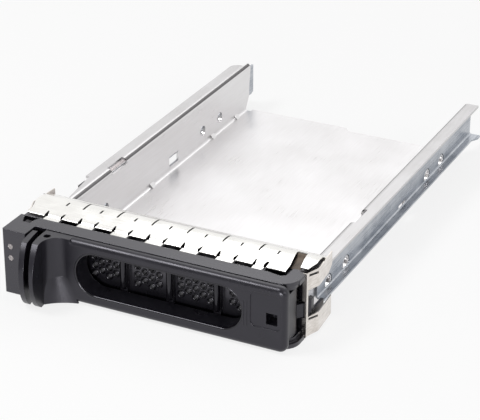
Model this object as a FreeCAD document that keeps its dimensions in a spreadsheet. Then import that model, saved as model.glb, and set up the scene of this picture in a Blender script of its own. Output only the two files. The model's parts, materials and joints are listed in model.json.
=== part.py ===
# Hot swap drive caddy: a folded steel tray with a moulded front, spring strips that ground it
# in its bay, and a release lever with its own squeeze trigger.
# Lengths are in millimetres. While a piece is drawn, X is across the caddy from its centre plane,
# Y is the depth behind the lever's flat front face and Z is the height above the rest plane.
import FreeCAD, Part
import math
import os
import Sketcher

SIZES = {
    # the whole front
    "front_width": 115.8,
    "front_height": 26.5,
    "plastic_wall": 1.6,
    # the drive that the tray is made for, and its side screws
    "drive_width": 101.6,
    "drive_side_gap": 0.4,
    "screw_first": 44.2,
    "screw_pair": 16.5,
    "screw_span": 101.6,
    "screw_height": 7.55,
    "screw_hole_radius": 2.3,
    "boss_radius": 3.1,
    "boss_height": 0.7,
    # folded sheet
    "sheet": 1.0,
    "bend_radius": 1.2,
    "rail_height": 22.1,
    "floor_front": 15.2,
    "floor_rear": 187.5,
    "floor_step": 3.0,
    "wall_front": 24.6,
    "flange_front": 33.5,
    "wall_rear": 193.4,
    "left_flange_rear": 189.5,
    "guide_sheet": 0.8,
    "guide_ledge_width": 3.1,
    "guide_ledge_height": 5.3,
    "guide_web_top": 19.6,
    "guide_rear": 198.4,
    "window_start": 114.5,
    "window_length": 8.3,
    "window_low": 3.2,
    "window_tall": 4.5,
    # moulded front
    "flange_gap": 0.2,
    "flange_rear": 9.9,
    "roof_drop": 0.6,
    "roof_rear": 30.6,
    "skirt_inset": 0.7,
    "skirt_wall": 1.2,
    "channel_low": 8.5,
    "channel_high": 18.3,
    "led_face": 3.5,
    "led_block_width": 10.0,
    "vent_front": 11.0,
    "vent_rear": 15.0,
    "vent_hole_radius": 1.25,
    "vent_first": -27.1,
    "vent_step": 3.01,
    "vent_low": 8.3,
    "vent_rise": 1.75,
    "rib_width": 2.9,
    "rib_depth": 2.1,
    "rib_pitch": 19.3,
    "rib_first": -13.9,
    "ear_thickness": 1.8,
    "notch_right": 51.5,
    # lever
    "plate_depth": 3.2,
    "plate_right": 56.0,
    "plate_left": 33.0,
    "slit": 0.25,
    "hinge_x": 50.3,
    "hinge_y": 10.2,
    "hinge_pin_radius": 1.25,
    "running_gap": 0.05,
    "knuckle_radius": 4.9,
    "claw_low": 8.9,
    "claw_high": 14.3,
    "plate_corner": 3.0,
    "tunnel_left": -29.0,
    "tunnel_right": 38.7,
    "tunnel_low": 5.0,
    "tunnel_high": 22.0,
    "tunnel_depth": 8.4,
    "scoop_radius": 6.4,
    "scoop_x": 33.0,
    "lip_reach": 15.0,
    "lip_sagitta": 7.6,
    "trigger_pin_x": 40.0,
    "trigger_pin_y": 1.0,
    "trigger_pin_radius": 0.8,
    "trigger_knuckle": 1.6,
    "trigger_thickness": 2.1,
    # springs of the lever and of the trigger
    "spring_radius": 2.9,
    "spring_wire": 0.8,
    "spring_pitch": 0.9,
    "spring_low": 14.9,
    "return_radius": 1.55,
    "return_wire": 0.5,
    "return_pitch": 0.62,
    # spring strips
    "strip": 0.4,
    "finger_pitch": 7.2,
    "finger_gap": 0.5,
    "finger_start": -49.0,
    "foot_front": 10.2,
    "foot_rear": 12.6,
    "crest_front": 17.0,
    "crest_rear": 27.0,
    "crest_rise": 1.3,
    "side_crest": 59.5,
    "strip_lip": 2.4,
    # small parts
    "pipe_radius": 1.05,
    "pipe_gap": 0.05,
    "pipe_inset": 3.2,
    "pipe_upper": 19.6,
    "pipe_lower": 14.9,
    "pipe_rear": 188.0,
    "rivet_y": 28.0,
    "rivet_radius": 1.25,
    "rivet_head": 2.2,
    "rivet_low": 6.6,
    "rivet_high": 15.6,
}

DOC = FreeCAD.newDocument("DriveCaddy")
SHEET = DOC.addObject("Spreadsheet::Sheet", "Sizes")
for row, (alias, number) in enumerate(SIZES.items(), start=1):
    SHEET.set("A%d" % row, alias)
    SHEET.set("B%d" % row, str(number))
    SHEET.setAlias("B%d" % row, alias)
DOC.recompute()

PIECES = {}


class Size:
    """A length together with the sheet expression that gives it."""

    def __init__(self, number, text):
        self.number = number
        self.text = text

    def __add__(self, other):
        return Size(self.number + number_of(other), "(%s + %s)" % (self.text, text_of(other)))

    def __radd__(self, other):
        return self + other

    def __sub__(self, other):
        return Size(self.number - number_of(other), "(%s - %s)" % (self.text, text_of(other)))

    def __rsub__(self, other):
        return Size(number_of(other) - self.number, "(%s - %s)" % (text_of(other), self.text))

    def __mul__(self, other):
        return Size(self.number * number_of(other), "(%s * %s)" % (self.text, text_of(other)))

    def __rmul__(self, other):
        return self * other

    def __truediv__(self, other):
        return Size(self.number / number_of(other), "(%s / %s)" % (self.text, text_of(other)))

    def __neg__(self):
        return Size(-self.number, "(0 - %s)" % self.text)


def number_of(value):
    """The plain number of a Size or of a number."""
    return value.number if isinstance(value, Size) else float(value)


def text_of(value):
    """The expression of a Size, or a number written out."""
    return value.text if isinstance(value, Size) else repr(float(value))


def size(alias):
    """The named size of the sheet."""
    return Size(float(SIZES[alias]), "Sizes.%s" % alias)


class Circle:
    """A round loop for a sketch."""

    def __init__(self, across, up, radius):
        self.across = across
        self.up = up
        self.radius = radius


def rectangle(left, right, low, high):
    """A four-cornered loop."""
    return [(left, low), (right, low), (right, high), (left, high)]


def rounded(left, right, low, high, radius):
    """A rectangle whose corners are quarter circles."""
    return [
        (left + radius, low), (right - radius, low, radius), (right, low + radius),
        (right, high - radius, radius), (right - radius, high), (left + radius, high, radius),
        (left, high - radius), (left, low + radius, radius),
    ]


def many_sided(across, up, radius, count):
    """A regular polygon that stands for a small round outline."""
    step = 2 * math.pi / count
    return [(across + radius * math.cos(step * (place + 0.5)), up + radius * math.sin(step * (place + 0.5)))
            for place in range(count)]


def stadium(left, right, low, high):
    """A loop with two straight sides and round ends, each end in two quarters."""
    radius = (high - low) / 2
    middle = low + radius
    return [
        (left + radius, low), (right - radius, low, radius), (right, middle, radius),
        (right - radius, high), (left + radius, high, radius), (left, middle, radius),
    ]


def new_body(label):
    """A named piece, set back so that the origin is under the middle of the drive's screws."""
    body = DOC.addObject("PartDesign::Body", label)
    body.Label = label
    PIECES[label] = body
    return body


def edge_geometry(first, second, bend):
    """The line or arc from one corner to the next, and whether it runs backwards.

    A positive bend is an arc with its centre on the left of the walk, a negative one on the right.
    """
    start = FreeCAD.Vector(number_of(first[0]), number_of(first[1]), 0)
    end = FreeCAD.Vector(number_of(second[0]), number_of(second[1]), 0)
    if bend is None:
        return Part.LineSegment(start, end), False
    radius = abs(number_of(bend))
    chord = end - start
    left = FreeCAD.Vector(-chord.y, chord.x, 0).normalize()
    rise = math.sqrt(max(radius ** 2 - (chord.Length / 2) ** 2, 0.0))
    side = 1 if number_of(bend) > 0 else -1
    centre = start + chord / 2 + left * (rise * side)
    if side < 0:
        start, end = end, start
    begin = math.atan2(start.y - centre.y, start.x - centre.x)
    finish = math.atan2(end.y - centre.y, end.x - centre.x)
    if finish < begin:
        finish += 2 * math.pi
    circle = Part.Circle(centre, FreeCAD.Vector(0, 0, 1), radius)
    return Part.ArcOfCircle(circle, begin, finish), side < 0


def add_loop(drawn, rules, loop):
    """Adds one closed loop's edges to drawn, and what fixes them to rules.

    A rule is the start of a constraint's arguments and its value, or None for two joined ends.
    """
    first = len(drawn)
    if isinstance(loop, Circle):
        centre = FreeCAD.Vector(number_of(loop.across), number_of(loop.up), 0)
        drawn.append(Part.Circle(centre, FreeCAD.Vector(0, 0, 1), number_of(loop.radius)))
        rules.append((("DistanceX", -1, 1, first, 3), loop.across))
        rules.append((("DistanceY", -1, 1, first, 3), loop.up))
        rules.append((("Radius", first), loop.radius))
        return
    count = len(loop)
    ends = []
    for index, corner in enumerate(loop):
        bend = corner[2] if len(corner) > 2 else None
        geometry, backwards = edge_geometry(corner, loop[(index + 1) % count], bend)
        drawn.append(geometry)
        ends.append((2, 1) if backwards else (1, 2))
    for index in range(count):
        after = (index + 1) % count
        rules.append((("Coincident", first + index, ends[index][1], first + after, ends[after][0]), None))
    for index, corner in enumerate(loop):
        rules.append((("DistanceX", -1, 1, first + index, ends[index][0]), corner[0]))
        rules.append((("DistanceY", -1, 1, first + index, ends[index][0]), corner[1]))
        if len(corner) > 2:
            bend = corner[2]
            rules.append((("Radius", first + index), bend if number_of(bend) > 0 else -bend))


def draw(body, plane, start, loops):
    """A sketch on one of the body's own planes, moved along the plane's axis to start."""
    role = {"XY": "XY_Plane", "XZ": "XZ_Plane", "YZ": "YZ_Plane"}[plane]
    sketch = body.newObject("Sketcher::SketchObject", body.Label + "_outline")
    face = [item for item in body.Origin.OriginFeatures if item.Role == role][0]
    sketch.AttachmentSupport = [(face, "")]
    sketch.MapMode = "FlatFace"
    offset = -start if plane == "XZ" else start
    placement = FreeCAD.Placement(FreeCAD.Vector(0, 0, number_of(offset)), FreeCAD.Rotation())
    sketch.AttachmentOffset = placement
    if isinstance(offset, Size):
        sketch.setExpression("AttachmentOffset.Base.z", offset.text)
    drawn = []
    rules = []
    for loop in loops:
        add_loop(drawn, rules, loop)
    sketch.addGeometry(drawn, False)
    sketch.addConstraint([
        Sketcher.Constraint(*rule) if value is None else Sketcher.Constraint(*rule, number_of(value))
        for rule, value in rules
    ])
    for index, (rule, value) in enumerate(rules):
        if isinstance(value, Size):
            sketch.setExpression("Constraints[%d]" % index, value.text)
    return sketch


def prism(body, kind, plane, start, end, loops):
    """Adds or removes the loops, carried from start to end along the plane's axis."""
    sketch = draw(body, plane, start, loops)
    feature = body.newObject("PartDesign::" + kind, body.Label + "_" + kind.lower())
    feature.Profile = sketch
    length = end - start
    feature.Length = number_of(length)
    if isinstance(length, Size):
        feature.setExpression("Length", length.text)
    feature.Reversed = (plane == "XZ") == (kind == "Pad")
    sketch.Visibility = False
    DOC.recompute()
    return feature


def pad(body, plane, start, end, *loops):
    """Adds material."""
    return prism(body, "Pad", plane, start, end, loops)


def pocket(body, plane, start, end, *loops):
    """Removes material, and stops if nothing was there."""
    before = body.Shape.Volume
    feature = prism(body, "Pocket", plane, start, end, loops)
    if body.Shape.Volume > before - 1e-6:
        raise ValueError("a cut in %s removes nothing" % body.Label)
    return feature


def loft(body, low, low_loop, high, high_loop):
    """Adds a form that changes from one loop to another between two heights."""
    lower = draw(body, "XY", low, [low_loop])
    upper = draw(body, "XY", high, [high_loop])
    feature = body.newObject("PartDesign::AdditiveLoft", body.Label + "_loft")
    feature.Profile = lower
    feature.Sections = [upper]
    feature.Ruled = True
    lower.Visibility = False
    upper.Visibility = False
    DOC.recompute()
    return feature


def on_face(plane_y, left, right, low, high):
    """A test for edges that lie in an upright plane and inside a box."""
    def test(edge):
        box = edge.BoundBox
        flat = abs(box.YMin - plane_y) < 1e-4 and abs(box.YMax - plane_y) < 1e-4
        return flat and box.XMin > left and box.XMax < right and box.ZMin > low and box.ZMax < high
    return test


def along(axis, **where):
    """A test for straight edges that run along an axis at the given places."""
    def test(edge):
        if edge.Curve.TypeId != "Part::GeomLine":
            return False
        ends = [vertex.Point for vertex in edge.Vertexes]
        run = ends[1] - ends[0]
        if abs(getattr(run, axis)) < run.Length - 1e-6:
            return False
        return all(
            min(abs(getattr(point, name) - number_of(place)) for place in places) < 1e-4
            for name, places in where.items() for point in ends
        )
    return test


def soften(body, radius, test, kind="Fillet"):
    """Rounds or bevels the edges of the piece that pass the test."""
    tip = body.Tip
    names = ["Edge%d" % (i + 1) for i, edge in enumerate(tip.Shape.Edges) if test(edge)]
    if not names:
        raise ValueError("no edge to round in %s" % body.Label)
    feature = body.newObject("PartDesign::" + kind, body.Label + "_" + kind.lower())
    feature.Base = (tip, names)
    amount = "Radius" if kind == "Fillet" else "Size"
    setattr(feature, amount, number_of(radius))
    if isinstance(radius, Size):
        feature.setExpression(amount, radius.text)
    DOC.recompute()


SHEET_T = size("sheet")
WALL = size("plastic_wall")
HALF = size("front_width") / 2
TOP = size("front_height")
INNER = size("drive_width") / 2 + size("drive_side_gap")
OUTER = INNER + SHEET_T
ROOF = TOP - size("roof_drop")
SKIRT = HALF - size("skirt_inset")
SKIRT_INNER = SKIRT - size("skirt_wall")
PIPE_X = HALF - size("pipe_inset")
STRIP_T = size("strip")
FLANGE_FRONT = size("plate_depth") + size("flange_gap")
HINGE_X = size("hinge_x")
HINGE_Y = size("hinge_y")
BARREL_BACK = HINGE_Y + size("knuckle_radius") + 0.3
LEVER_LOW = size("slit")
LEVER_HIGH = TOP - size("slit")
DATUM = size("screw_first") + size("screw_span") / 2
FAR = 70
SCREW_ROWS = [
    size("screw_first"),
    size("screw_first") + size("screw_pair"),
    size("screw_first") + size("screw_span"),
    size("screw_first") + size("screw_pair") + size("screw_span"),
]


def mirrored(loop, side):
    """The same loop on the other side of the centre plane when side is -1."""
    if side > 0:
        return loop
    if isinstance(loop, Circle):
        return Circle(-loop.across, loop.up, loop.radius)
    count = len(loop)
    turned = []
    for index in range(count):
        corner = loop[-index % count]
        before = loop[(-index - 1) % count]
        bend = tuple(before[2:3])
        turned.append((-corner[0], corner[1]) + bend)
    return turned


def make_tray():
    """One sheet: floor, two walls and flanges that turn outwards along their tops."""
    body = new_body("tray")
    top = size("rail_height")
    under = top - SHEET_T
    section = [
        (-OUTER, 0), (OUTER, 0), (OUTER, under), (HALF, under), (HALF, top), (INNER, top),
        (INNER, SHEET_T), (-INNER, SHEET_T), (-INNER, top), (-HALF, top), (-HALF, under),
        (-OUTER, under),
    ]
    pad(body, "XZ", size("floor_front"), size("wall_rear"), section)
    bend = size("bend_radius")
    soften(body, bend + SHEET_T, along("y", x=[OUTER, -OUTER], z=[0]))
    soften(body, bend + SHEET_T, along("y", x=[INNER, -INNER], z=[top]))
    soften(body, bend, along("y", x=[INNER, -INNER], z=[SHEET_T]))
    soften(body, bend, along("y", x=[OUTER, -OUTER], z=[under]))

    # the walls start behind the lever's claw, and the flanges behind the moulded front
    flat = INNER - 2.6
    front = size("wall_front")
    flange = size("flange_front")
    nose = rectangle(flat, FAR, size("floor_front") - 1, front)
    pocket(body, "XY", -1, 30, nose, mirrored(nose, -1))
    pocket(body, "XY", under - 0.8, 30, rectangle(-FAR, FAR, front - 1, flange))

    # the left flange is narrower at the front and stops short at the rear with a round corner
    taper = [(-FAR, flange - 1), (-OUTER - 1.2, flange - 1), (-HALF + 1.6, 57.3), (-FAR, 57.3)]
    pocket(body, "XY", under - 0.1, 30, taper)
    rear = size("left_flange_rear")
    end = [
        (-FAR, rear - 4), (-HALF, rear - 4, -4), (-HALF + 4, rear), (-OUTER - 0.6, rear),
        (-OUTER - 0.6, 200), (-FAR, 200),
    ]
    pocket(body, "XY", under - 0.1, 30, end)

    # relief slots in both top bends
    relief = rectangle(INNER - 0.5, INNER + 2.7, 67, 79)
    pocket(body, "XY", top - 2.2, 30, relief, mirrored(relief, -1))

    # the floor's rear edge steps, and the walls' rear ends lead in
    floor_rear = size("floor_rear")
    step = size("floor_step")
    edge = [
        (-flat, floor_rear + step), (-2, floor_rear + step), (0, floor_rear),
        (flat, floor_rear), (flat, 200), (-flat, 200),
    ]
    pocket(body, "XY", -1, 5, edge)
    lead = [
        (floor_rear - 0.4, -1), (size("wall_rear") - 1.4, 6.6), (size("wall_rear") - 1, 13),
        (size("wall_rear"), 19), (200, 19), (200, -1),
    ]
    pocket(body, "YZ", flat, FAR, lead)
    pocket(body, "YZ", -FAR, -flat, lead)

    # screw bosses stand out of the walls, and the holes go through them
    height = size("screw_height")
    bosses = [many_sided(row, height, size("boss_radius"), 16) for row in SCREW_ROWS]
    out = OUTER + size("boss_height")
    for start, finish in ((OUTER - 0.4, out), (-out, -OUTER + 0.4)):
        pad(body, "YZ", start, finish, *bosses)
    reach = size("boss_height") + SHEET_T + 1
    holes = [Circle(row, height, size("screw_hole_radius")) for row in SCREW_ROWS]
    windows = rectangle(
        size("window_start"), size("window_start") + size("window_length"),
        size("window_low"), size("window_low") + size("window_tall"),
    )
    rivets = [Circle(size("rivet_y"), z, size("rivet_radius") + size("running_gap"))
              for z in (size("rivet_low"), size("rivet_high"))]
    for start, finish in ((INNER - 0.5, INNER + reach), (-INNER - reach, -INNER + 0.5)):
        pocket(body, "YZ", start, finish, windows, *holes, *rivets)

    # dents that stiffen the lower bends
    for place in (98.7, 154.6, 178.4):
        dent = [(INNER - 1.6, SHEET_T - 0.1), (INNER + 0.1, SHEET_T - 0.1), (INNER + 0.1, 2.8)]
        pad(body, "XZ", place - 1.5, place + 1.5, dent, mirrored(dent, -1))
        hollow = [(OUTER - 1.9, -1), (OUTER + 1, -1), (OUTER + 1, 2.6), (OUTER, 2.6)]
        pocket(body, "XZ", place - 0.8, place + 0.8, hollow, mirrored(hollow, -1))


def make_guide_rail(side, label):
    """A folded angle welded outside the wall, whose ledge runs in the bay's guide."""
    body = new_body(label)
    thick = size("guide_sheet")
    low = size("guide_ledge_height")
    web = OUTER + thick
    ledge = web + size("guide_ledge_width")
    start = size("flange_front") + 0.6
    angle = [
        (OUTER, low), (ledge, low), (ledge, low + thick), (web, low + thick),
        (web, size("guide_web_top")), (OUTER, size("guide_web_top")),
    ]
    pad(body, "XZ", start, size("guide_rear"), mirrored(angle, side))
    soften(body, 0.8, along("y", x=[web * side], z=[low + thick]))
    soften(body, 0.8 + thick, along("y", x=[OUTER * side], z=[low]))
    ear = [(web - 0.2, size("guide_rear") - 7), (ledge - 0.5, size("guide_rear") - 7),
           (HALF, size("guide_rear") - 3), (HALF, size("guide_rear")),
           (web - 0.2, size("guide_rear"))]
    pad(body, "XY", low, low + thick, mirrored(ear, side))
    # holes in the web only, so that the ledge runs on past the screw bosses
    radius = size("boss_radius") + 0.35
    holes = [many_sided(row, size("screw_height"), radius, 16) for row in SCREW_ROWS]
    window = rectangle(
        size("window_start"), size("window_start") + size("window_length"),
        size("window_low"), size("window_low") + size("window_tall"),
    )
    past = web + 0.05
    span = (OUTER - 1, past) if side > 0 else (-past, -OUTER + 1)
    pocket(body, "YZ", span[0], span[1], window, *holes)


def make_front_bezel():
    """The moulded front: two flanges, the light block, the vent wall and a skirt behind them."""
    body = new_body("front_bezel")
    low = WALL
    high = TOP - WALL
    rear = size("flange_rear")
    front = FLANGE_FRONT
    corner = HINGE_Y - front
    right = HINGE_X + corner
    block_right = -HALF + size("led_block_width")
    vent_front = size("vent_front")
    vent_rear = size("vent_rear")
    roof_rear = size("roof_rear")

    # top and bottom flanges, with a corner that the lever's plate swings round. Behind the hinge
    # each stands back from the side, where the spring strip folds round the skirt.
    beside = SKIRT_INNER - 0.05
    fold = vent_rear - 1
    tail = vent_rear + 0.9
    notch = size("notch_right")
    top_outline = [
        (-HALF, front), (HINGE_X, front, corner), (right, HINGE_Y), (right, fold),
        (beside, fold), (beside, tail), (notch, tail), (notch, HINGE_Y + 1.4, -2.6),
        (notch - 2.6, HINGE_Y - 1.2), (41.7, rear + 0.7), (41.7, rear), (-HALF, rear),
    ]
    pad(body, "XY", high, TOP, top_outline)
    seat = vent_rear - 0.4
    bottom_outline = [
        (-HALF, front), (HINGE_X, front, corner), (right, HINGE_Y), (right, fold),
        (beside, fold), (beside, seat), (SKIRT - 0.1, seat), (SKIRT - 0.1, vent_rear),
        (-SKIRT + 0.1, vent_rear), (-SKIRT + 0.1, seat), (-beside, seat), (-beside, fold),
        (-SKIRT, fold), (-SKIRT, rear), (-HALF, rear),
    ]
    pad(body, "XY", 0, low, bottom_outline)

    # light block, hollow behind its face
    pad(body, "XY", 0, TOP, rectangle(-HALF, block_right, -size("led_face"), rear))
    soften(body, 0.5, along("z", x=[-HALF, block_right], y=[-size("led_face")]))
    cavity = rectangle(-HALF + WALL, block_right - WALL, 0.2, rear + 1)
    pocket(body, "XY", low, high, cavity)

    # vent wall with its ribs, and the cheek beside the light block
    cheek = rectangle(block_right - WALL, block_right, 0, vent_rear)
    pad(body, "XY", low - 0.1, high + 0.1, cheek)
    wall_end = HINGE_X - size("knuckle_radius") - 0.5
    pad(body, "XY", low - 0.1, high + 0.1,
        rectangle(block_right - WALL, wall_end, vent_front, vent_rear))
    ribs = []
    for index in range(3):
        middle = size("rib_first") + size("rib_pitch") * index
        half = size("rib_width") / 2
        ribs.append(rectangle(middle - half, middle + half, vent_front - size("rib_depth"),
                              vent_front + 0.2))
    pad(body, "XY", low - 0.1, high + 0.1, *ribs)

    # roof and side skirts that the spring strips clip onto
    pad(body, "XY", ROOF - WALL, ROOF, rectangle(-SKIRT, SKIRT, rear - 0.9, roof_rear))
    for side in (1, -1):
        begin = vent_rear - 0.4
        upper = mirrored(rectangle(SKIRT_INNER, SKIRT, begin, roof_rear), side)
        pad(body, "XY", size("channel_high"), ROOF, upper)
        pad(body, "XY", 0.3, size("channel_low"), upper)
    pad(body, "XY", 0.3, ROOF, rectangle(-SKIRT, -SKIRT_INNER, rear - 0.9, fold))
    for side in (1, -1):
        corner_gap = mirrored(rectangle(beside, FAR, fold, seat), side)
        pocket(body, "XY", ROOF - WALL - 0.1, TOP + 1, corner_gap)

    # ears that the tray's walls are riveted to
    for side in (1, -1):
        ear = rectangle(INNER - 0.1 - size("ear_thickness"), INNER - 0.1,
                        size("wall_front"), roof_rear)
        pad(body, "XY", SHEET_T + size("bend_radius") + 0.1, ROOF - WALL + 0.1, mirrored(ear, side))
    rivets = [Circle(size("rivet_y"), z, size("rivet_radius") + size("running_gap"))
              for z in (size("rivet_low"), size("rivet_high"))]
    pocket(body, "YZ", INNER - 3, INNER + 1, *rivets)
    pocket(body, "YZ", -INNER - 1, -INNER + 3, *rivets)

    # recess for the hinge: its back wall and the lugs that hold the pin
    lug = [
        (HINGE_X - 5.4, HINGE_Y, 5.4), (HINGE_X, HINGE_Y - 5.4, 5.4), (HINGE_X + 5.4, HINGE_Y),
        (HINGE_X + 5.4, vent_rear + 1), (HINGE_X - 5.4, vent_rear + 1),
    ]
    pad(body, "XY", low - 0.1, low + WALL, lug)
    pad(body, "XY", ROOF - WALL * 2, ROOF - WALL + 0.1, lug)
    back = rectangle(wall_end - 0.2, SKIRT - 0.1, BARREL_BACK, BARREL_BACK + 0.8)
    pad(body, "XY", low - 0.1, ROOF - WALL + 0.1, back)
    slot = rectangle(wall_end + 0.7, FAR, size("claw_low") - 0.4, size("claw_high") + 0.4)
    pocket(body, "XZ", vent_rear - 1, vent_rear + 2, slot)

    # openings in the top: behind the lights, and in the roof between the strip's feet
    begin = -HALF + 1.3
    window = [(begin, rear + 0.6), (begin + 2.3, 4.9), (-51.1, 4.9), (-50.7, 7.8),
              (-49.1, rear + 0.6)]
    pocket(body, "XY", ROOF - WALL - 0.1, TOP + 1, window)
    pitch = size("finger_pitch")
    gaps = []
    for index in range(1, 12, 2):
        begin = size("finger_start") + pitch * index
        gaps.append(rectangle(begin + 0.1, begin + pitch - 0.1, rear + 0.1, size("foot_rear") + 0.2))
    end = size("finger_start") + pitch * 13 - 2.2
    gaps.append(rectangle(end, notch - 0.2, rear + 0.1, size("foot_rear") + 0.2))
    pocket(body, "XY", ROOF - WALL - 0.9, TOP + 1, *gaps)
    pocket(body, "XY", ROOF - WALL - 0.1, ROOF + 0.1, rectangle(49.2, 52.9, 21.4, 27.2))

    # striker beside the trigger's hook
    striker = rectangle(-42.9, -40.9, 5.4, vent_front + 0.2)
    pad(body, "XY", 9, 17.5, striker)

    # round holes: hinge pin, light pipes and vents
    pin = Circle(HINGE_X, HINGE_Y, size("hinge_pin_radius") + 0.02)
    pocket(body, "XY", low, ROOF - WALL, pin)
    hole = size("pipe_radius") + size("pipe_gap")
    pipes = [Circle(-PIPE_X, z, hole) for z in (size("pipe_upper"), size("pipe_lower"))]
    pocket(body, "XZ", -size("led_face") - 1, 1, *pipes)
    # staggered vents between the ribs, seen through the lever's opening, three to a column
    for column in range(22):
        across = size("vent_first") + size("vent_step") * column
        clear = SIZES["rib_width"] / 2 + SIZES["vent_hole_radius"] + 0.15
        near_rib = any(
            abs(across.number - SIZES["rib_first"] - index * SIZES["rib_pitch"]) < clear
            for index in range(3)
        )
        if near_rib:
            continue
        vents = [many_sided(across, size("vent_low") + size("vent_rise") * (row * 2 + column % 2),
                            size("vent_hole_radius"), 8) for row in range(3)]
        pocket(body, "XZ", vent_front - 1, vent_rear + 1, *vents)


def make_release_handle():
    """The lever: a flat plate with a finger opening, hinged at its right end."""
    body = new_body("release_handle")
    depth = size("plate_depth")
    right = size("plate_right")
    low = LEVER_LOW
    high = LEVER_HIGH
    left = -size("plate_left")
    corner = size("plate_corner")
    plate = [
        (left, low), (right - corner, low, corner), (right, low + corner),
        (right, high - corner, corner), (right - corner, high), (left, high),
    ]
    pad(body, "XZ", 0, depth, plate)
    soften(body, 2.4, along("z", x=[right], y=[0]))

    # left end: the lip, and the scoop that the finger pulls on, which spreads towards its foot
    scoop = size("scoop_radius")
    sx = -size("scoop_x")
    reach = -size("lip_reach") - 0.5
    lip = [
        (sx + 2, depth), (-42.7, depth, 46), (-39.7, reach), (-38.2, reach),
        (sx - scoop, -scoop, -scoop), (sx, 0), (sx + 2, 0),
    ]
    pad(body, "XY", low, high, lip)
    inside = sx - scoop - 0.5
    foot = [
        (inside, -scoop - 0.4, -22), (sx + 4.6, 0), (sx + 4.6, 0.6), (inside, 0.6),
    ]
    waist = [
        (inside, -scoop, -scoop - 0.7), (sx + 0.2, 0), (sx + 0.2, 0.6), (inside, 0.6),
    ]
    loft(body, low, foot, low + 10, waist)
    pocket(body, "YZ", -50, sx, side_arc())

    # finger opening and the tunnel behind it
    inner = (size("tunnel_left"), size("tunnel_right"), size("tunnel_low"), size("tunnel_high"))
    tunnel = size("tunnel_depth")
    outer = (inner[0] - WALL, inner[1] + WALL, inner[2] - WALL, inner[3] + WALL)
    pad(body, "XZ", depth - 0.2, tunnel, stadium(*outer))
    pocket(body, "XZ", -1, tunnel + 1, stadium(*inner))
    rim = on_face(0, inner[0].number - 0.1, inner[1].number + 0.1,
                  inner[2].number - 0.1, inner[3].number + 0.1)
    soften(body, 0.5, rim, "Chamfer")
    for start in (WALL + 0.3, TOP - WALL - 0.3 - 1.4):
        pad(body, "XY", start, start + 1.4, rectangle(-40, 45, depth - 0.2, tunnel - 0.2))

    # hinge barrel, hollow round the spring and open behind for the spring's legs
    knuckle_low = WALL * 2 + 0.4
    knuckle_high = ROOF - WALL * 2 - 0.35
    barrel = size("knuckle_radius")
    web = rectangle(HINGE_X - barrel, HINGE_X + barrel, depth - 0.4, HINGE_Y)
    pad(body, "XY", knuckle_low, knuckle_high, web)
    pad(body, "XY", knuckle_low, knuckle_high, Circle(HINGE_X, HINGE_Y, barrel))
    room_low = size("spring_low") - 0.4
    room_high = size("spring_low") + size("spring_pitch") * 4 + size("spring_wire") + 0.4
    wire_side = size("spring_radius") + size("spring_wire") / 2
    pocket(body, "XY", room_low, room_high, Circle(HINGE_X, HINGE_Y, wire_side + 0.3))
    pocket(body, "XY", room_low, room_high,
           rectangle(HINGE_X - barrel - 1, HINGE_X, depth + 0.2, HINGE_Y + 3))
    pocket(body, "XY", room_low, room_high,
           rectangle(HINGE_X - barrel - 1, HINGE_X + 3.5, HINGE_Y + 2.4, HINGE_Y + 6))

    # claw that grips the bay
    claw = [
        (HINGE_X, HINGE_Y + 1.6), (HINGE_X + 3.6, HINGE_Y + 1), (56.7, 14.6), (56.7, 16.6),
        (57.7, 18.4), (57.7, 20.6), (56.2, 21.2), (54.6, 17.0), (HINGE_X, HINGE_Y + 4.1),
    ]
    pad(body, "XY", size("claw_low"), size("claw_high"), claw)
    bore = size("hinge_pin_radius") + size("running_gap")
    pocket(body, "XY", 3, 23, Circle(HINGE_X, HINGE_Y, bore))

    # front details: square hole, shallow panel and two fine ridges
    pocket(body, "XZ", -1, 6.2, rectangle(48.3, 52.7, 11, 15.6))
    pocket(body, "XZ", -1, 0.35, rounded(42.2, 54.0, 9.2, 23.2, 2))
    ridges = [rectangle(39.3, 39.7, 8.5, 18.5), rectangle(40.6, 41.0, 8.5, 18.5)]
    pad(body, "XZ", -0.2, 0.4, *ridges)

    # slot, bore and counterbore for the trigger
    px = -size("trigger_pin_x")
    py = -size("trigger_pin_y")
    room = size("trigger_knuckle") + 0.25
    pocket(body, "XY", 9, 20.6, Circle(px, py, room))
    pocket(body, "XY", 9, 17.6, rectangle(px - 5, px, py - room, depth + 1))
    pocket(body, "XY", 6, 24, Circle(px, py, size("trigger_pin_radius") + 0.02))
    pocket(body, "XY", 24, TOP + 1, Circle(px, py, 1.35))


def side_arc():
    """What lies in front of the lips' round side outline, as a loop to remove."""
    reach = size("lip_reach")
    sagitta = size("lip_sagitta")
    half = TOP / 2 + 0.5
    middle = TOP / 2
    radius = (half * half + sagitta * sagitta) / (sagitta * 2)
    near = -reach + sagitta
    return [
        (-reach - 9, middle - half), (near, middle - half, -radius), (-reach, middle, -radius),
        (near, middle + half), (-reach - 9, middle + half),
    ]


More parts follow.
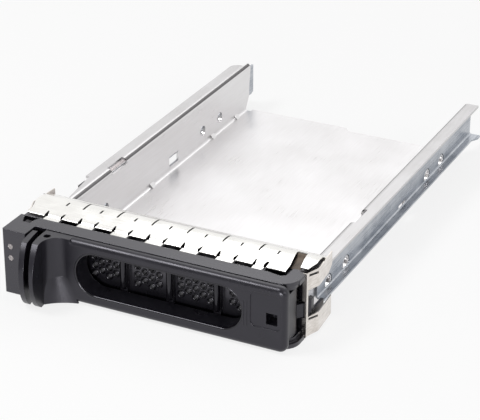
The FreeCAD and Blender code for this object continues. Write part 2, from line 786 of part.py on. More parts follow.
def make_release_trigger():
    """The outer lip, squeezed towards the lever to free its hook."""
    body = new_body("release_trigger")
    thick = size("trigger_thickness")
    reach = size("lip_reach") + 0.5
    px = -size("trigger_pin_x")
    py = -size("trigger_pin_y")
    blade = [
        (-47.5, 1.2, 55), (-44.1, -reach), (-44.1 + thick, -reach, -80), (-47.5 + thick, 1.2),
    ]
    pad(body, "XY", LEVER_LOW + 0.2, LEVER_HIGH - 0.2, blade)
    pocket(body, "YZ", -50, -33, side_arc())
    arm = [(-46.6, -1.5), (px - 0.4, py - 1.7), (px + 0.3, py + 1.6), (-44.6, 1.1), (-46.4, 1.1)]
    pad(body, "XY", 9.3, 17.3, arm)
    pad(body, "XY", 9.3, 17.3, Circle(px, py, size("trigger_knuckle")))
    hook = [
        (-46.0, 0.6), (-44.4, 0.6), (-44.4, 7.3), (-43.2, 7.3), (-43.2, 8.0), (-44.6, 8.8),
        (-46.0, 8.8),
    ]
    pad(body, "XY", 9.3, 17.3, hook)
    bore = size("trigger_pin_radius") + size("running_gap")
    pocket(body, "XY", 9, 18, Circle(px, py, bore))


def make_pin(label, across, deep, radius, low, high):
    """A plain upright pin."""
    body = new_body(label)
    pad(body, "XY", low, high, Circle(across, deep, radius))


def make_strip_top():
    """One spring strip over the roof: feet, free fingers, a crest and a rear lip."""
    body = new_body("emi_strip_top")
    thick = size("strip")
    front = size("crest_front")
    rear = size("crest_rear")
    rise = size("crest_rise")
    base = ROOF
    left = -SKIRT + 0.8
    right = SKIRT - 1.0
    shoulder = base + rise
    half = (rear - front) / 2
    bulge = 0.55
    radius = (half * half + bulge * bulge) / (2 * bulge)
    crest = [
        (front, shoulder, -radius), (rear, shoulder), (rear, shoulder + thick, radius + thick),
        (front, shoulder + thick),
    ]
    pad(body, "YZ", left, right, crest)
    lip_y = size("roof_rear")
    tail = [
        (rear - 0.1, shoulder + 0.02), (lip_y, base), (lip_y, base - size("strip_lip")),
        (lip_y + thick, base - size("strip_lip")), (lip_y + thick, base + thick),
        (rear - 0.1, shoulder + thick),
    ]
    pad(body, "YZ", left, right, tail)
    toe = size("foot_front")
    heel = size("foot_rear")
    foot = [
        (toe, base), (heel, base), (front + 0.1, shoulder), (front + 0.1, shoulder + thick),
        (heel - 0.2, base + thick), (toe, base + thick),
    ]
    lift = shoulder - 0.45
    free = [
        (toe + 1.8, lift), (front + 0.1, shoulder), (front + 0.1, shoulder + thick),
        (toe + 1.8, lift + thick),
    ]
    start = size("finger_start")
    pitch = size("finger_pitch")
    gap = size("finger_gap") / 2
    waists = []
    for index in range(13):
        begin = start + pitch * index + gap
        finish = start + pitch * (index + 1) - gap
        if index == 12:
            finish = finish - 2.7
        pad(body, "YZ", begin, finish, foot if index % 2 == 0 else free)
        if index % 2 == 0:
            waists.append([(begin - 0.1, heel + 0.1), (begin + 1.5, heel + 0.1), (begin - 0.1, front)])
            waists.append([(finish - 1.5, heel + 0.1), (finish + 0.1, heel + 0.1),
                           (finish + 0.1, front)])
    last = start + pitch * 13 - 1.9
    notch = size("notch_right")
    end = [
        (size("vent_rear") + 1.1, shoulder - 0.05), (front + 0.1, shoulder),
        (front + 0.1, shoulder + thick), (size("vent_rear") + 1.1, shoulder - 0.05 + thick),
    ]
    pad(body, "YZ", left, start - gap, free)
    pad(body, "YZ", last, notch - 0.2, free)
    pad(body, "YZ", notch + 0.1, right, end)
    pocket(body, "XY", base - 1, base + 3, *waists)

    # behind the crest the strip is wider and meets the side strips at the corners
    wide = SKIRT + 0.2
    pad(body, "YZ", right - 0.2, wide, tail)
    pad(body, "YZ", -wide, left + 0.2, tail)

    # slits in the tail, long and short in turn
    slits = []
    for index in range(14):
        middle = start + pitch * index
        low_end, high_end = (rear - 1.5, lip_y + 1) if index % 2 == 0 else (rear - 0.5, lip_y - 1.6)
        slits.append(rectangle(middle - 0.35, middle + 0.35, low_end, high_end))
    pocket(body, "XY", base - 3, base + 3, *slits)

    # the tongue at the right end, bent down out of its window into the roof
    pocket(body, "XY", base - 1, base + 3, rectangle(49.5, 52.6, 17.3, 27.7))
    tongue = [(22.0, base - 1.5), (28.4, base + 0.8), (28.4, base + 1.15), (22.0, base - 1.1)]
    pad(body, "YZ", Size(49.8, "49.8"), Size(52.3, "52.3"), tongue)


def make_strip_side(side, label):
    """A spring strip on one side, open in the middle for the bay's guide."""
    body = new_body(label)
    face = SKIRT
    out = face + STRIP_T
    crest = size("side_crest")
    begin = size("vent_rear") - 0.8
    rear = size("roof_rear") + 3.9
    bow = [
        (SKIRT_INNER, begin), (out, begin), (out, begin + 1.3), (crest, begin + 6.6),
        (crest, begin + 7.4), (HALF + 0.6, rear), (HALF + 0.2, rear), (crest - STRIP_T, begin + 7.5),
        (crest - STRIP_T, begin + 6.8), (face, begin + 1.5), (face, begin + STRIP_T),
        (SKIRT_INNER, begin + STRIP_T),
    ]
    pad(body, "XY", 0.6, TOP - 0.1, mirrored(bow, side))
    open_low = size("channel_low") - 0.1
    open_high = size("channel_high") - 3
    span = (face - 4, crest + 1) if side > 0 else (-crest - 1, -face + 4)
    pocket(body, "YZ", span[0], span[1],
           rectangle(begin + 1.4, 50, open_low, size("channel_high") + 0.9))
    inside = (face - 2, face - 0.2) if side > 0 else (-face + 0.2, -face + 2)
    pocket(body, "YZ", inside[0], inside[1], rectangle(begin - 1, begin + 1, open_low, open_high))
    for low in (7.0, 24.7):
        slot = [(begin + 1.7, low), (begin + 6.3, low - 0.4), (begin + 6.3, low + 0.5),
                (begin + 1.7, low + 0.9)]
        pocket(body, "YZ", span[0], span[1], slot)

    # the lower column runs further back, and both rear ends taper
    taper = [(rear - 5, size("channel_high")), (rear + 1, size("channel_high")),
             (rear + 1, size("channel_high") + 3.4)]
    pocket(body, "YZ", span[0], span[1], taper)


def make_light_pipe(label, up):
    """A clear rod from the front face to the rear of the left channel."""
    body = new_body(label)
    face = -size("led_face")
    pad(body, "XZ", face, size("pipe_rear"), Circle(-PIPE_X, up, size("pipe_radius")))


def make_pipe_clip(label, place):
    """A moulded clip that holds both light pipes under the left flange."""
    body = new_body(label)
    web = -OUTER - size("guide_sheet")
    high = size("rail_height") - SHEET_T
    low = size("pipe_lower") - 2.4
    bend = size("bend_radius")
    outline = [(-HALF + 0.7, low), (web, low), (web, high - bend - 0.3), (web - bend, high),
               (-HALF + 0.7, high)]
    pad(body, "XZ", place, place + 5, outline)
    hole = size("pipe_radius") + size("pipe_gap") + 0.1
    pipes = [many_sided(-PIPE_X, z, hole, 12) for z in (size("pipe_upper"), size("pipe_lower"))]
    pocket(body, "XZ", place - 1, place + 6, *pipes)
    mouth = rectangle(-HALF, -PIPE_X, size("pipe_lower") - 0.5, size("pipe_lower") + 0.5)
    pocket(body, "XZ", place - 1, place + 6, mouth)


def make_rivet(side, label, up):
    """A rivet through the tray's wall and the moulded ear."""
    body = new_body(label)
    deep = size("rivet_y")
    ear = INNER - 0.1 - size("ear_thickness")
    spans = (
        (ear - 0.8, ear, size("rivet_head") - 0.4),
        (ear - 0.1, OUTER + 0.1, size("rivet_radius")),
        (OUTER, OUTER + 0.9, size("rivet_head")),
    )
    for start, finish, radius in spans:
        if side < 0:
            start, finish = -finish, -start
        pad(body, "YZ", start, finish, many_sided(deep, up, radius, 12))


def make_coil(label, centre, mean, wire, pitch, turns, first_leg, last_leg):
    """A wound spring as one path: a leg, whole turns of short straight runs, and another leg."""
    per_turn = 14
    points = []
    for step in range(turns * per_turn + 1):
        turn = math.pi + 2 * math.pi * step / per_turn
        up = pitch * step / per_turn
        points.append(centre + FreeCAD.Vector(mean * math.cos(turn), mean * math.sin(turn), up))
    points.insert(0, points[0] + FreeCAD.Vector(0, first_leg, 0))
    points.append(points[-1] - FreeCAD.Vector(0, last_leg, 0))
    ring = [points[0] + FreeCAD.Vector(wire / 2 * math.cos(math.pi * side / 3), 0,
                                       wire / 2 * math.sin(math.pi * side / 3))
            for side in range(6)]
    section = Part.makePolygon(ring + ring[:1])
    spring = DOC.addObject("Part::Feature", label)
    spring.Label = label
    spring.Shape = Part.makePolygon(points).makePipeShell([section], True, False, 1)
    PIECES[label] = spring


def make_springs():
    """The lever's kick-out spring and the trigger's return spring."""
    wire = SIZES["spring_wire"]
    back_leg = BARREL_BACK.number - SIZES["hinge_y"] - 0.1
    front_leg = SIZES["hinge_y"] - SIZES["plate_depth"] - 0.3
    centre = FreeCAD.Vector(SIZES["hinge_x"], SIZES["hinge_y"], SIZES["spring_low"] + wire / 2)
    make_coil("handle_spring", centre, SIZES["spring_radius"], wire, SIZES["spring_pitch"], 4,
              back_leg, front_leg)
    centre = FreeCAD.Vector(-SIZES["trigger_pin_x"], -SIZES["trigger_pin_y"], 17.75)
    make_coil("trigger_spring", centre, SIZES["return_radius"], SIZES["return_wire"],
              SIZES["return_pitch"], 4, 0.3, 0.3)


make_tray()
make_guide_rail(1, "guide_rail_right")
make_guide_rail(-1, "guide_rail_left")
make_front_bezel()
make_release_handle()
make_release_trigger()
make_pin("handle_pin", HINGE_X, HINGE_Y, size("hinge_pin_radius"), WALL, ROOF - WALL)
make_pin("trigger_pin", -size("trigger_pin_x"), -size("trigger_pin_y"),
         size("trigger_pin_radius"), Size(6.0, "6.0"), Size(24.0, "24.0"))
make_springs()
make_strip_top()
make_strip_side(1, "emi_strip_right")
make_strip_side(-1, "emi_strip_left")
make_light_pipe("light_pipe_upper", size("pipe_upper"))
make_light_pipe("light_pipe_lower", size("pipe_lower"))
for name, y_place in (("pipe_clip_front", 50.0), ("pipe_clip_middle", 108.0), ("pipe_clip_rear", 176.0)):
    make_pipe_clip(name, Size(y_place, repr(y_place)))
for hand, end in ((1, "right"), (-1, "left")):
    make_rivet(hand, "rivet_lower_" + end, size("rivet_low"))
    make_rivet(hand, "rivet_upper_" + end, size("rivet_high"))

for piece in PIECES.values():
    piece.Placement = FreeCAD.Placement(FreeCAD.Vector(0, -DATUM.number, 0), FreeCAD.Rotation())
    piece.setExpression("Placement.Base.y", (-DATUM).text)
DOC.recompute()

for item in DOC.Objects:
    if "Invalid" in item.State or "Error" in item.State:
        raise ValueError("%s is in state %s" % (item.Name, item.State))
os.makedirs("parts", exist_ok=True)
for label, piece in PIECES.items():
    shape = piece.Shape
    if shape.isNull() or not shape.isValid():
        raise ValueError("%s has no valid shape" % label)
    shape.exportStep("parts/%s.step" % label)
    print("%-18s solids %d volume %.1f" % (label, len(shape.Solids), shape.Volume))
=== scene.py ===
"""Looks for the hot swap drive caddy: finishes, spring strips, studio and camera."""

import json
import logging
import math
from dataclasses import dataclass
from enum import Enum

import bmesh
import bpy
import numpy as np
from mathutils import Matrix, Vector

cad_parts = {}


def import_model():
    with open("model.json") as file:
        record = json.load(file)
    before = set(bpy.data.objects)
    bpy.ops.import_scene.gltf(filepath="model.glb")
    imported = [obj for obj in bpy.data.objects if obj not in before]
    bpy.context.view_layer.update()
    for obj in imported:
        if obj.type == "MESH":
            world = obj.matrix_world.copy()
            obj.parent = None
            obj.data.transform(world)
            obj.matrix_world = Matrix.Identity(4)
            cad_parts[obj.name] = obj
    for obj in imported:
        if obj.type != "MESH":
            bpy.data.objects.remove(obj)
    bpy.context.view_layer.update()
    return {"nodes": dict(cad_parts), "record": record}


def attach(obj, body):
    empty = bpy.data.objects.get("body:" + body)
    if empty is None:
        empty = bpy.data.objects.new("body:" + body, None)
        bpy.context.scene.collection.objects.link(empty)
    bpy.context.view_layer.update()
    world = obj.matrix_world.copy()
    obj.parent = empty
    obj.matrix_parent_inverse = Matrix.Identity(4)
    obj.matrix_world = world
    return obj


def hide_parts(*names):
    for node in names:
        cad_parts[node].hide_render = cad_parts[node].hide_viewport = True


LOG = logging.getLogger("drive_caddy")
MM = 0.001
WELD_MM = 0.001
SHARP_DEGREES = 40.0
ALL_SMOOTH_DEGREES = 180.0
PHOTO_WIDTH_PX = 480
SENSOR_WIDTH_MM = 36.0
FINE_DETAIL = 3.0
SOFT_DETAIL = 2.0
SIDE_STRIPS = ("emi_strip_left", "emi_strip_right")


class Grain(Enum):
    """The way a sheet was rolled, as the stretch of its streaks along X, Y and Z."""

    ALONG_DEPTH = (1.0, 0.04, 1.0)
    ALONG_WIDTH = (0.04, 1.0, 1.0)


def linear_colour(code: str) -> tuple[float, float, float, float]:
    """Turns an sRGB hex colour into the linear colour that a shader takes.

    Args:
        code: six hex digits after a hash sign.

    Returns:
        Linear red, green and blue, and an alpha of 1.
    """
    parts = [int(code[start:start + 2], 16) / 255.0 for start in (1, 3, 5)]
    linear = [
        part / 12.92 if part <= 0.04045 else ((part + 0.055) / 1.055) ** 2.4 for part in parts
    ]
    return linear[0], linear[1], linear[2], 1.0


def add_node(
    tree: bpy.types.NodeTree,
    kind: str,
    settings: dict[str, object] | None = None,
    sockets: dict[str | int, object] | None = None,
) -> bpy.types.Node:
    """Adds a shader node with its settings, socket values and links.

    Args:
        tree: the material's node tree.
        kind: the node's type name.
        settings: attributes of the node.
        sockets: input names or places, each with a value, or with an output socket to link from.

    Returns:
        The new node.
    """
    node = tree.nodes.new(kind)
    for name, value in (settings or {}).items():
        setattr(node, name, value)
    for name, value in (sockets or {}).items():
        if isinstance(value, bpy.types.NodeSocket):
            tree.links.new(value, node.inputs[name])
        else:
            node.inputs[name].default_value = value
    return node


def new_material(name: str) -> tuple[bpy.types.Material, bpy.types.NodeTree]:
    """Makes an empty node material.

    Args:
        name: the finish's name.

    Returns:
        The material and its node tree.
    """
    material = bpy.data.materials.new(name)
    material.use_nodes = True
    material.node_tree.nodes.clear()
    return material, material.node_tree


def finish_surface(tree: bpy.types.NodeTree, shader: bpy.types.Node) -> None:
    """Joins a shader to the material's output.

    Args:
        tree: the material's node tree.
        shader: the node whose first output is the surface.
    """
    add_node(tree, "ShaderNodeOutputMaterial", sockets={"Surface": shader.outputs[0]})


@dataclass(frozen=True)
class RolledSteel:
    """Cold-rolled steel sheet, plated: faint streaks the way it was rolled, and soft blotches.

    Real streaks are about a tenth as wide. They are drawn this coarse because finer ones don't show.
    The noises of the streaks and the blotches are added, and the band holds most of their sum.
    """

    name: str
    colour: str
    shade: str
    roughness: float
    grain: Grain = Grain.ALONG_DEPTH
    streak_mm: float = 0.5
    blotch_mm: float = 28.0
    bump: float = 0.02
    bump_mm: float = 0.02
    band_low: float = 0.6
    band_high: float = 1.4
    smoother: float = 0.07
    rougher: float = 0.09
    # The dark grey of the painted shade along the fold and on the flange.
    painted_shade_colour: str = "#4c4a4b"
    fold_shade: float = 0.0
    flange_shade: float = 0.0
    fold_from_mm: float = 50.7
    fold_to_mm: float = 52.5
    fold_height_mm: float = 21.0

    def build(self) -> bpy.types.Material:
        """Builds the material, with streaks and blotches sized in millimetres.

        Returns:
            The material.
        """
        material, tree = new_material(self.name)
        place = add_node(tree, "ShaderNodeTexCoord")
        stretched = add_node(
            tree, "ShaderNodeMapping",
            sockets={"Vector": place.outputs["Object"], "Scale": self.grain.value},
        )
        streaks = add_node(
            tree, "ShaderNodeTexNoise",
            sockets={"Vector": stretched.outputs[0], "Scale": 1.0 / (self.streak_mm * MM),
                     "Detail": FINE_DETAIL},
        )
        blotches = add_node(
            tree, "ShaderNodeTexNoise",
            sockets={"Vector": place.outputs["Object"], "Scale": 1.0 / (self.blotch_mm * MM),
                     "Detail": SOFT_DETAIL},
        )
        both = add_node(
            tree, "ShaderNodeMath", {"operation": "ADD"},
            {0: streaks.outputs["Fac"], 1: blotches.outputs["Fac"]},
        )
        share = add_node(
            tree, "ShaderNodeMapRange",
            sockets={"Value": both.outputs[0], "From Min": self.band_low, "From Max": self.band_high},
        )
        colour = add_node(
            tree, "ShaderNodeMix", {"data_type": "RGBA"},
            {0: share.outputs[0], 6: linear_colour(self.shade), 7: linear_colour(self.colour)},
        )
        # Painted shade: darkens the colour along the fold at the top of each wall and over the flange.
        shaded_colour = add_node(
            tree, "ShaderNodeMix", {"data_type": "RGBA"},
            {0: self.fold(tree, place), 6: colour.outputs[2], 7: linear_colour(self.painted_shade_colour)},
        )
        rough = add_node(
            tree, "ShaderNodeMapRange",
            sockets={"Value": both.outputs[0], "From Min": self.band_low, "From Max": self.band_high,
                     "To Min": self.roughness - self.smoother, "To Max": self.roughness + self.rougher},
        )
        bump = add_node(
            tree, "ShaderNodeBump",
            sockets={"Strength": self.bump, "Distance": self.bump_mm * MM,
                     "Height": streaks.outputs["Fac"]},
        )
        shader = add_node(
            tree, "ShaderNodeBsdfPrincipled",
            sockets={"Base Color": shaded_colour.outputs[2], "Metallic": 1.0, "Roughness": rough.outputs[0],
                     "Normal": bump.outputs[0]},
        )
        finish_surface(tree, shader)
        return material

    def fold(self, tree: bpy.types.NodeTree, place: bpy.types.Node) -> bpy.types.NodeSocket:
        """Finds where shade is painted: a dark line along the fold at the top of each wall, and fainter
        shade over the flange.

        Args:
            tree: the material's node tree.
            place: the texture coordinates.

        Returns:
            How much shade is painted, from 0 to the shades of the fold and the flange together.
        """
        parts = add_node(tree, "ShaderNodeSeparateXYZ", sockets={0: place.outputs["Object"]})
        side = add_node(tree, "ShaderNodeMath", {"operation": "ABSOLUTE"}, {0: parts.outputs["X"]})
        middle = (self.fold_from_mm + self.fold_to_mm) / 2 * MM
        away = add_node(
            tree, "ShaderNodeMath", {"operation": "COMPARE"},
            {0: side.outputs[0], 1: middle, 2: (self.fold_to_mm - self.fold_from_mm) / 2 * MM},
        )
        high = add_node(
            tree, "ShaderNodeMath", {"operation": "GREATER_THAN"},
            {0: parts.outputs["Z"], 1: self.fold_height_mm * MM},
        )
        both = add_node(
            tree, "ShaderNodeMath", {"operation": "MULTIPLY"}, {0: away.outputs[0], 1: high.outputs[0]}
        )
        line = add_node(
            tree, "ShaderNodeMath", {"operation": "MULTIPLY"}, {0: both.outputs[0], 1: self.fold_shade}
        )
        share = add_node(
            tree, "ShaderNodeMath", {"operation": "MULTIPLY_ADD"},
            {0: high.outputs[0], 1: self.flange_shade, 2: line.outputs[0]},
        )
        return share.outputs[0]


@dataclass(frozen=True)
class MouldedPlastic:
    """Injection-moulded ABS: the mould's spark-eroded grain gives a soft, broken gloss.

    The real grain is about a fifth as wide. It is drawn this coarse because a finer one doesn't show.
    """

    name: str
    colour: str
    worn: str
    roughness: float
    grain_mm: float = 0.35
    bump: float = 0.12
    bump_mm: float = 0.03
    cloud_mm: float = 14.0
    band_low: float = 0.3
    band_high: float = 0.7
    smoother: float = 0.05
    rougher: float = 0.06
    edge_mm: float = 0.3
    edge_samples: int = 6
    ior: float = 1.54
    sheen: str = "#f6f4ff"

    def build(self) -> bpy.types.Material:
        """Builds the material, with edges that catch the light as the mould's small radii do.

        Returns:
            The material.
        """
        material, tree = new_material(self.name)
        place = add_node(tree, "ShaderNodeTexCoord")
        grain = add_node(
            tree, "ShaderNodeTexNoise",
            sockets={"Vector": place.outputs["Object"], "Scale": 1.0 / (self.grain_mm * MM),
                     "Detail": SOFT_DETAIL},
        )
        cloud = add_node(
            tree, "ShaderNodeTexNoise",
            sockets={"Vector": place.outputs["Object"], "Scale": 1.0 / (self.cloud_mm * MM),
                     "Detail": FINE_DETAIL},
        )
        rough = add_node(
            tree, "ShaderNodeMapRange",
            sockets={"Value": cloud.outputs["Fac"], "From Min": self.band_low, "From Max": self.band_high,
                     "To Min": self.roughness - self.smoother, "To Max": self.roughness + self.rougher},
        )
        colour = add_node(
            tree, "ShaderNodeMix", {"data_type": "RGBA"},
            {0: cloud.outputs["Fac"], 6: linear_colour(self.colour), 7: linear_colour(self.worn)},
        )
        edge = add_node(
            tree, "ShaderNodeBevel", {"samples": self.edge_samples}, {"Radius": self.edge_mm * MM}
        )
        bump = add_node(
            tree, "ShaderNodeBump",
            sockets={"Strength": self.bump, "Distance": self.bump_mm * MM, "Height": grain.outputs["Fac"],
                     "Normal": edge.outputs[0]},
        )
        shader = add_node(
            tree, "ShaderNodeBsdfPrincipled",
            sockets={"Base Color": colour.outputs[2], "Roughness": rough.outputs[0], "IOR": self.ior,
                     "Specular Tint": linear_colour(self.sheen), "Normal": bump.outputs[0]},
        )
        finish_surface(tree, shader)
        return material


@dataclass(frozen=True)
class ClearAcrylic:
    """Extruded acrylic rod: clear, with a little haze along its length."""

    name: str
    tint: str
    haze_mm: float = 6.0
    clearest: float = 0.08
    haziest: float = 0.3
    ior: float = 1.49
    transmission: float = 0.75

    def build(self) -> bpy.types.Material:
        """Builds a see-through plastic with faint haze.

        Returns:
            The material.
        """
        material, tree = new_material(self.name)
        place = add_node(tree, "ShaderNodeTexCoord")
        haze = add_node(
            tree, "ShaderNodeTexNoise",
            sockets={"Vector": place.outputs["Object"], "Scale": 1.0 / (self.haze_mm * MM),
                     "Detail": SOFT_DETAIL},
        )
        rough = add_node(
            tree, "ShaderNodeMapRange",
            sockets={"Value": haze.outputs["Fac"], "To Min": self.clearest, "To Max": self.haziest},
        )
        shader = add_node(
            tree, "ShaderNodeBsdfPrincipled",
            sockets={"Base Color": linear_colour(self.tint), "Roughness": rough.outputs[0],
                     "IOR": self.ior, "Transmission Weight": self.transmission},
        )
        finish_surface(tree, shader)
        return material


@dataclass(frozen=True)
class StudioPaper:
    """Seamless white paper that shows as the photograph's white ground and keeps soft shadows."""

    name: str
    colour: str
    glow: float

    def build(self) -> bpy.types.Material:
        """Builds matt paper whose own light is seen directly, through clear parts and in shiny parts.

        Returns:
            The material.
        """
        material, tree = new_material(self.name)
        paper = add_node(tree, "ShaderNodeBsdfDiffuse", sockets={"Color": linear_colour(self.colour)})
        light = add_node(
            tree, "ShaderNodeEmission",
            sockets={"Color": (1.0, 1.0, 1.0, 1.0), "Strength": 1.0},
        )
        path = add_node(tree, "ShaderNodeLightPath")
        direct = add_node(
            tree, "ShaderNodeMath", {"operation": "MAXIMUM"},
            {0: path.outputs["Is Camera Ray"], 1: path.outputs["Is Transmission Ray"]},
        )
        seen = add_node(
            tree, "ShaderNodeMath", {"operation": "MAXIMUM"},
            {0: direct.outputs[0], 1: path.outputs["Is Glossy Ray"]},
        )
        share = add_node(
            tree, "ShaderNodeMath", {"operation": "MULTIPLY"}, {0: seen.outputs[0], 1: self.glow}
        )
        mixed = add_node(
            tree, "ShaderNodeMixShader",
            sockets={0: share.outputs[0], 1: paper.outputs[0], 2: light.outputs[0]},
        )
        finish_surface(tree, mixed)
        return material


@dataclass(frozen=True)
class Finishes:
    """Every finish of the caddy: one for each of the record's material slots, and three more."""

    # Plated sheet, rolled: bright but soft, so that it mirrors the white room without an edge. Painted
    # shade darkens it in a line along the top fold of each wall and, less, over the flange.
    tray: RolledSteel = RolledSteel(
        "plated_sheet_steel", "#e6e5e6", "#dad8d8", 0.32, fold_shade=0.65, flange_shade=0.25
    )
    # The rails' plating is thinner: bluish, with streaks and darker blotches along the rail. The darker
    # grey is partly painted shade, for the flange's shadow on the web and the darker things it mirrors.
    rail: RolledSteel = RolledSteel(
        "plated_guide_steel_painted_shade", "#c9ccd1", "#8a9099", 0.28, streak_mm=0.7, blotch_mm=9.0
    )
    # Stainless strip, rolled bright: close to a mirror, and white where it faces a light.
    strip: RolledSteel = RolledSteel(
        "bright_stainless_spring_strip", "#f8f7f4", "#ebe9e5", 0.17, Grain.ALONG_WIDTH,
        streak_mm=0.4, blotch_mm=9.0,
    )
    # The same strip at the sides in a darker, warmer and more uneven tone: painted shade, for the shadow on
    # their facets and the darker things they mirror.
    side_strip: RolledSteel = RolledSteel(
        "bright_stainless_side_strip_painted_shade", "#f1ece7", "#c9c2bb", 0.2, streak_mm=0.6, blotch_mm=5.0
    )
    # The tongue lies in the crest's shade. Its dark brown is painted shade and a painted brown reflection
    # on the same bright strip.
    tongue: RolledSteel = RolledSteel(
        "spring_tongue_painted_shade", "#62574d", "#3f3731", 0.32, blotch_mm=4.0
    )
    # Black ABS from a grained mould: charcoal with a soft gloss, set stronger than ABS to match it.
    bezel: MouldedPlastic = MouldedPlastic("charcoal_abs", "#0b0a0e", "#111015", 0.28, ior=1.75)
    # The lever and its trigger come from another mould, and are a little lighter.
    lever: MouldedPlastic = MouldedPlastic("charcoal_abs_lever", "#0f0e13", "#15141a", 0.3)
    # Round edges that the mould leaves smooth: deep black with small sharp lights.
    polished: MouldedPlastic = MouldedPlastic(
        "polished_black_abs", "#08070a", "#0b0a0e", 0.12, bump=0.0, edge_mm=0.02
    )
    # Black nylon as it leaves the mould: nearly matt.
    clip: MouldedPlastic = MouldedPlastic("black_nylon_clip", "#1d1d20", "#242427", 0.5)
    # A ground pin, drawn spring wire and a plated rivet: plain greys, the wire the dullest.
    pin: RolledSteel = RolledSteel("ground_pin_steel", "#c9c9cc", "#b4b4b8", 0.22)
    wire: RolledSteel = RolledSteel("spring_wire", "#b5b6ba", "#9a9ba0", 0.3)
    rivet: RolledSteel = RolledSteel("zinc_plated_rivet", "#d4d4d6", "#bcbcc0", 0.3)
    # Clear acrylic: see-through, with a bright end.
    pipe: ClearAcrylic = ClearAcrylic("clear_acrylic_light_pipe", "#f6eeee")

    def by_slot(self) -> dict[str, RolledSteel | MouldedPlastic | ClearAcrylic]:
        """Lists the finishes.

        Returns:
            Each finish under its slot's name, or under its own where it isn't a slot's.
        """
        return {
            "bright_steel": self.tray, "rail_steel": self.rail, "spring_strip": self.strip,
            "black_plastic": self.bezel, "handle_plastic": self.lever, "clip_plastic": self.clip,
            "pin_steel": self.pin, "spring_wire": self.wire, "rivet_steel": self.rivet,
            "clear_acrylic": self.pipe, "polished": self.polished, "side_strip": self.side_strip,
            "tongue": self.tongue,
        }


@dataclass(frozen=True)
class SoftBox:
    """A soft box that faces the caddy, with its centre and sides in metres and its power in watts."""

    name: str
    place: tuple[float, float, float]
    width: float
    height: float
    watts: float

    def build(self) -> None:
        """Adds the light to the scene."""
        data = bpy.data.lights.new(self.name, "AREA")
        data.shape = "RECTANGLE"
        data.size = self.width
        data.size_y = self.height
        data.energy = self.watts
        light = bpy.data.objects.new(self.name, data)
        light.location = self.place
        light.rotation_euler = (-Vector(self.place)).to_track_quat("-Z", "Y").to_euler()
        bpy.context.scene.collection.objects.link(light)


